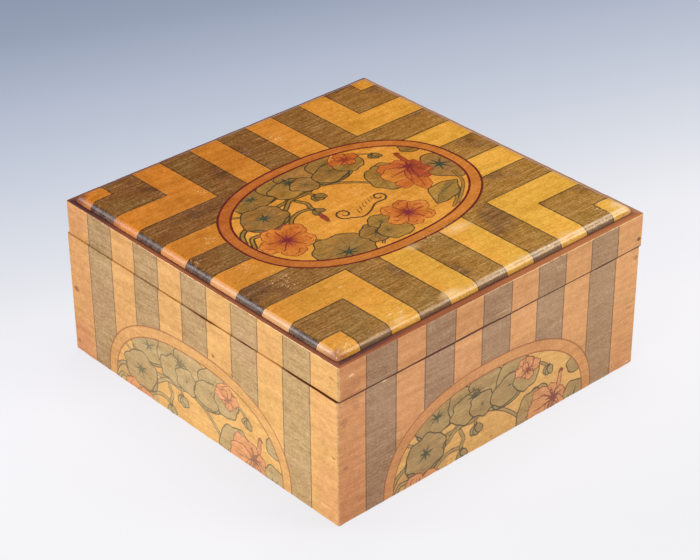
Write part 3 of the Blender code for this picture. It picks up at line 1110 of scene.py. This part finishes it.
def board(name, side, bounds_mm, rows, columns, materials, seed, picture=None):
    """A mitred board of a frame, with the values that its finish reads."""
    low, high = bounds_mm
    turn = SIDES.index(side)
    out = np.array(((0, -1), (1, 0), (0, 1), (-1, 0))[turn], float)
    along = np.array((-out[1], out[0]))
    corner = 0 if out.sum() < 0 else 1
    middle = (low[:2] + high[:2]) / 2
    length = abs(along @ (high - low)[:2])
    face_middle = middle + out * abs(out @ (high - low)[:2]) / 2

    is_lid = bounds_mm is LID_mm
    loop, face_rows = section(low[2], high[2], rows, is_lid)
    across, height, depth = mitred(loop, length, columns, seed)
    flat = face_middle + across[..., None] * along - depth[..., None] * out
    points = np.dstack((flat, height[..., None]))
    faces, bare = sleeve(*across.shape, face_rows.stop + ARRIS_POINTS)

    # The stripes run on from the body to the lid, which stands a little off it. Where a face stands back,
    # the painted shadow at the seam is narrower
    body_middle = (BODY_mm[0] + BODY_mm[1])[:2] / 2
    other = (BODY_mm if is_lid else LID_mm)[corner][:2]
    hidden = max(0, (face_middle - other) @ out * (-1 if is_lid else 1))
    from_gap = np.hypot(depth - hidden, height - SEAM_mm)
    values = {
        "place": np.dstack((across + (middle - body_middle) @ along, height, depth)),
        "board": np.full(across.shape, turn),
        "corner": length / 2 - np.abs(across),
        "gap": from_gap * (2.2 if hidden > 0 else 1),
    }
    if is_lid:
        values["foot"] = np.abs(TOP_mm[corner][:2] @ out - face_middle @ out) - depth
    if picture:
        values["band"], values["field"] = band_and_field(across - ARCH_PLACE_mm, height - low[2], ARCH_mm)
        canvas = picture(across[:, face_rows.start] - ARCH_PLACE_mm, rows - low[2])
        layers = {
            "ink": (canvas.ink, FAR_mm), "paint": (canvas.paint, FIELD), "pen": (canvas.pen, GREEN_INK),
        }
        for key, (drawn, elsewhere) in layers.items():
            value = np.full(across.shape + drawn.shape[2:], elsewhere)
            value[:, face_rows] = np.swapaxes(drawn, 0, 1)
            value[:, : face_rows.start] = drawn[0][:, None]
            values[key] = value
    return add_mesh(name, points.reshape(-1, 3), faces, materials, values, bare)


def cushion(x, y):
    """Faces of a grid of points over a flat bottom: triangles, each square cut towards the nearer corner,
    a skirt down to a second ring of points, and a fan from that to one more in its middle. Also gives
    the grid's rim."""
    rows, count = x.shape
    index = np.arange(rows * count).reshape(rows, count)
    a, b, c, d = index[:-1, :-1], index[:-1, 1:], index[1:, 1:], index[1:, :-1]
    rising = ((x[:-1, :-1] + x[1:, 1:]) * (y[:-1, :-1] + y[1:, 1:]) > 0)[..., None]
    first = np.where(rising, np.stack((a, b, c), -1), np.stack((a, b, d), -1))
    second = np.where(rising, np.stack((a, c, d), -1), np.stack((b, c, d), -1))
    ring = np.concatenate((index[0, :-1], index[:-1, -1], index[-1, :0:-1], index[:0:-1, 0]))
    below = index.size + np.arange(len(ring))
    after, after_below = np.roll(ring, -1), np.roll(below, -1)
    centre = np.full(len(ring), below[-1] + 1)
    under = [(ring, below, after), (after, below, after_below), (centre, after_below, below)]
    under = [np.stack(corners, -1) for corners in under]
    return np.vstack((first.reshape(-1, 3), second.reshape(-1, 3), *under)), ring


def top_board(name, materials):
    """The top board: a flat board whose rim falls in a quarter ellipse, mitred at the corners.

    Its height is foot + rise * sqrt(1 - (1 - e/w)^2), where e is the distance from the nearer edge, up
    to the width w of the rim. At each corner the square rings of that height, of half width max(a, b)
    about the point w in from both edges, are drawn in to the curve a^n + b^n = max(a, b)^n.
    """
    low, high = TOP_mm
    rim = ROUND_WIDTH_mm * (1 - np.cos(np.linspace(0, np.pi / 2, ROUND_POINTS)))

    def positions(axis):
        start, end = low[axis] - TOP_MIDDLE_mm[axis], high[axis] - TOP_MIDDLE_mm[axis]
        fine = OVAL_mm[axis] - BAND_mm + 1.2  # A little past the field
        middle = spaced(start + ROUND_WIDTH_mm, -fine, fine, end - ROUND_WIDTH_mm)
        return np.concatenate((start + rim[:-1], middle, (end - rim[:-1])[::-1]))

    xs, ys = positions(0), positions(1)
    x, y = np.meshgrid(xs, ys)
    edge_x = np.minimum(x - xs[0], xs[-1] - x)
    edge_y = np.minimum(y - ys[0], ys[-1] - y)
    edge = np.minimum(edge_x, edge_y)
    rise = high[2] - low[2] - ROUND_FOOT_mm
    z = low[2] + ROUND_FOOT_mm + rise * np.sqrt(1 - (1 - np.clip(edge / ROUND_WIDTH_mm, 0, 1)) ** 2)
    from_x, from_y = (np.maximum(ROUND_WIDTH_mm - away, 1e-6) for away in (edge_x, edge_y))
    whole = (from_x**CORNER_POWER + from_y**CORNER_POWER) ** (1 / CORNER_POWER)
    pull = 1 - np.maximum(from_x, from_y) / whole
    x = x - np.sign(x) * from_x * pull
    y = y - np.sign(y) * from_y * pull

    faces, ring = cushion(x, y)
    upper = np.stack((x, y, z), axis=-1).reshape(-1, 3)
    lower = upper[ring] * (1, 1, 0) + (0, 0, low[2])
    points = np.vstack((upper, lower, (0, 0, low[2])))
    canvas = Canvas(xs - PICTURE_PLACE_mm[0], ys - PICTURE_PLACE_mm[1], seed=3)
    garland(canvas)
    flourish(canvas)
    band, field = band_and_field(x - OVAL_PLACE_mm[0], y - OVAL_PLACE_mm[1], OVAL_mm)

    def padded(values, rest):
        """The grid's values, and one for the points below it."""
        values = values.reshape(len(upper), -1)
        return np.vstack((values, np.tile(rest, (len(points) - len(upper), 1))))

    values = {
        "place": points - (0, 0, high[2]),
        "board": np.full(len(points), TOP_BOARD),
        "rim": padded(edge, 0),
        "end_rim": padded(edge_x, 0),
        "band": padded(band, FAR_mm),
        "field": padded(field, FAR_mm),
        "ink": padded(canvas.ink, FAR_mm),
        "paint": padded(canvas.paint, FIELD),
        "pen": padded(canvas.pen, GREEN_INK),
    }
    bare = np.arange(len(faces)) >= len(faces) - len(ring)
    return add_mesh(name, points + (*TOP_MIDDLE_mm[:2], 0), faces.tolist(), materials, values, bare)


def wall_picture(side):
    """The painter of one wall's arch, for its columns and rows. Its paint and its pen lines have faded by
    a share, most on the left, and its reds to a blush. The hidden walls have the plainer picture."""
    faded, ink_faded = (0.62, 0.26) if side == "left" else (0.44, 0.1)

    def paint(columns, rows):
        canvas = Canvas(columns, rows, 31 + SIDES.index(side))
        garland(canvas, high=0.94, whole=False, plain=side in ("right", "back"))
        bare = np.all(canvas.paint == FIELD, axis=-1, keepdims=True)
        red = canvas.paint[..., :1] > 2.6 * canvas.paint[..., 1:2]
        washed = toward(canvas.paint, np.where(red, WALL_BLUSH, WALL_WASH), np.where(red, 0.8, faded))
        canvas.paint = np.where(bare, WALL_GROUND, washed)
        canvas.pen = toward(canvas.pen, WALL_WASH, ink_faded)
        return canvas
    return paint


def add_boards():
    """The eight walls and the top board in place of the frame's, and bare wood on the bottom board."""
    bare = bare_wood("bare_wood")
    body_finish = [painted_walls("painted_body", lid=False), bare]
    lid_finish = [painted_walls("painted_lid_walls", lid=True), bare]

    # Fine steps reach a little past the field of the arch
    half = (BODY_mm[1] - BODY_mm[0])[:2].max() / 2
    fine = ARCH_mm[0] - BAND_mm + 0.5
    body_columns = spaced(-half, ARCH_PLACE_mm - fine, ARCH_PLACE_mm + fine, half)
    foot, rim = BODY_mm[0][2], BODY_mm[1][2]
    body_rows = spaced(foot + EDGE_ROW_mm, foot + 1, foot + ARCH_mm[1] - BAND_mm + 1, rim - EDGE_ROW_mm)
    lid_columns = np.linspace(-half, half, LID_COLUMNS)
    lid_rows = np.linspace(LID_mm[0][2] + EDGE_ROW_mm, LID_mm[1][2] - EDGE_ROW_mm, LID_ROWS)

    for turn, side in enumerate(SIDES):
        name, picture = f"painted_body_{side}", wall_picture(side)
        body_board = board(name, side, BODY_mm, body_rows, body_columns, body_finish, 20 + turn, picture)
        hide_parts(f"body_{side}_board")
        lid_board = board(f"painted_lid_{side}", side, LID_mm, lid_rows, lid_columns, lid_finish, 40 + turn)
        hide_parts(f"lid_{side}_board")

    top = top_board("painted_lid_top", [painted_top("painted_top"), bare])
    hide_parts("lid_top_board")

    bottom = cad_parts["body_bottom_board"]
    bottom.data.materials.clear()
    bottom.data.materials.append(bare)


# Stage, lights and camera

def floor_material():
    """Pale floor, turning blue grey with distance behind the box on its far left."""
    floor = Finish("pale_floor")
    x, y, _ = floor.split(floor.node("ShaderNodeTexCoord", {}, (), "Object"))
    a = math.radians(CAMERA_AZIMUTH)
    away = x * (-math.sin(a) - 0.35 * math.cos(a)) + y * (math.cos(a) - 0.35 * math.sin(a))
    ramp = floor.node("ShaderNodeValToRGB", {}, {"Fac": away + 0.2}).socket.node
    while len(ramp.color_ramp.elements) < len(FLOOR_SHADES):
        ramp.color_ramp.elements.new(0.5)
    for element, (at, shade) in zip(ramp.color_ramp.elements, FLOOR_SHADES):
        element.position = at
        element.color = (*light(*shade), 1.0)
    tone = Field(floor, ramp.outputs[0])
    floor.set(Base_Color=floor.mix(1.0, tone, (FLOOR_BOUNCE,) * 3, "MULTIPLY"), Roughness=0.9)
    floor.set(Emission_Color=tone, Emission_Strength=FLOOR_GLOW)
    return floor.material


def add_stage():
    """A wide flat floor just under the box."""
    half = FLOOR_HALF
    mesh = bpy.data.meshes.new("floor")
    corners = [(-half, -half, 0), (half, -half, 0), (half, half, 0), (-half, half, 0)]
    mesh.from_pydata(corners, [], [(0, 1, 2, 3)])
    mesh.materials.append(floor_material())
    floor = bpy.data.objects.new("floor", mesh)
    floor.location.z = -FLOOR_DROP
    bpy.context.scene.collection.objects.link(floor)


def add_light(name, at, size, power, tint):
    """A soft rectangular lamp that looks at the middle of the box."""
    lamp = bpy.data.lights.new(name, "AREA")
    lamp.shape = "RECTANGLE"
    lamp.size, lamp.size_y = size
    lamp.energy = power
    lamp.color = tint
    placed = bpy.data.objects.new(name, lamp)
    placed.location = at
    placed.rotation_euler = (Vector(LAMPS_AIM) - Vector(at)).to_track_quat("-Z", "Y").to_euler()
    bpy.context.scene.collection.objects.link(placed)


def add_camera():
    """The camera looks back along its azimuth and elevation, rolled a little."""
    camera = bpy.data.objects.new("camera", bpy.data.cameras.new("camera"))
    a, e = math.radians(CAMERA_AZIMUTH), math.radians(CAMERA_ELEVATION)
    back = Vector((math.sin(a) * math.cos(e), -math.cos(a) * math.cos(e), math.sin(e)))
    turn = (-back).to_track_quat("-Z", "Y").to_matrix() @ Matrix.Rotation(math.radians(CAMERA_ROLL), 3, "Z")
    camera.matrix_world = Matrix.Translation(CAMERA_AT) @ turn.to_4x4()
    camera.data.lens = CAMERA_LENS
    camera.data.sensor_width = 36.0
    camera.data.shift_x, camera.data.shift_y = CAMERA_SHIFT
    camera.data.clip_start = 0.05
    bpy.context.scene.collection.objects.link(camera)
    bpy.context.scene.camera = camera


def add_world():
    """A dim, cool light from all round."""
    world = bpy.data.worlds.new("studio")
    world.use_nodes = True
    background = world.node_tree.nodes["Background"]
    background.inputs["Color"].default_value = (0.85, 0.88, 0.95, 1)
    background.inputs["Strength"].default_value = 0.12
    bpy.context.scene.world = world


add_boards()
add_stage()
add_world()
add_light("left_softbox", (-1.5, -0.5, 0.7), (1.0, 1.0), 19, (1.0, 0.98, 0.95))
add_light("right_softbox", (1.15, -1.25, 1.2), (0.9, 0.9), 20, (1.0, 0.97, 0.93))
add_light("cool_softbox", (-1.3, 1.4, 0.9), (1.2, 0.8), 16, (0.72, 0.84, 1.0))
add_light("top_softbox", (0.3, 0.1, 1.7), (0.9, 0.9), 17, (1.0, 0.97, 0.92))
add_camera()
bpy.context.scene.view_settings.view_transform = "Standard"
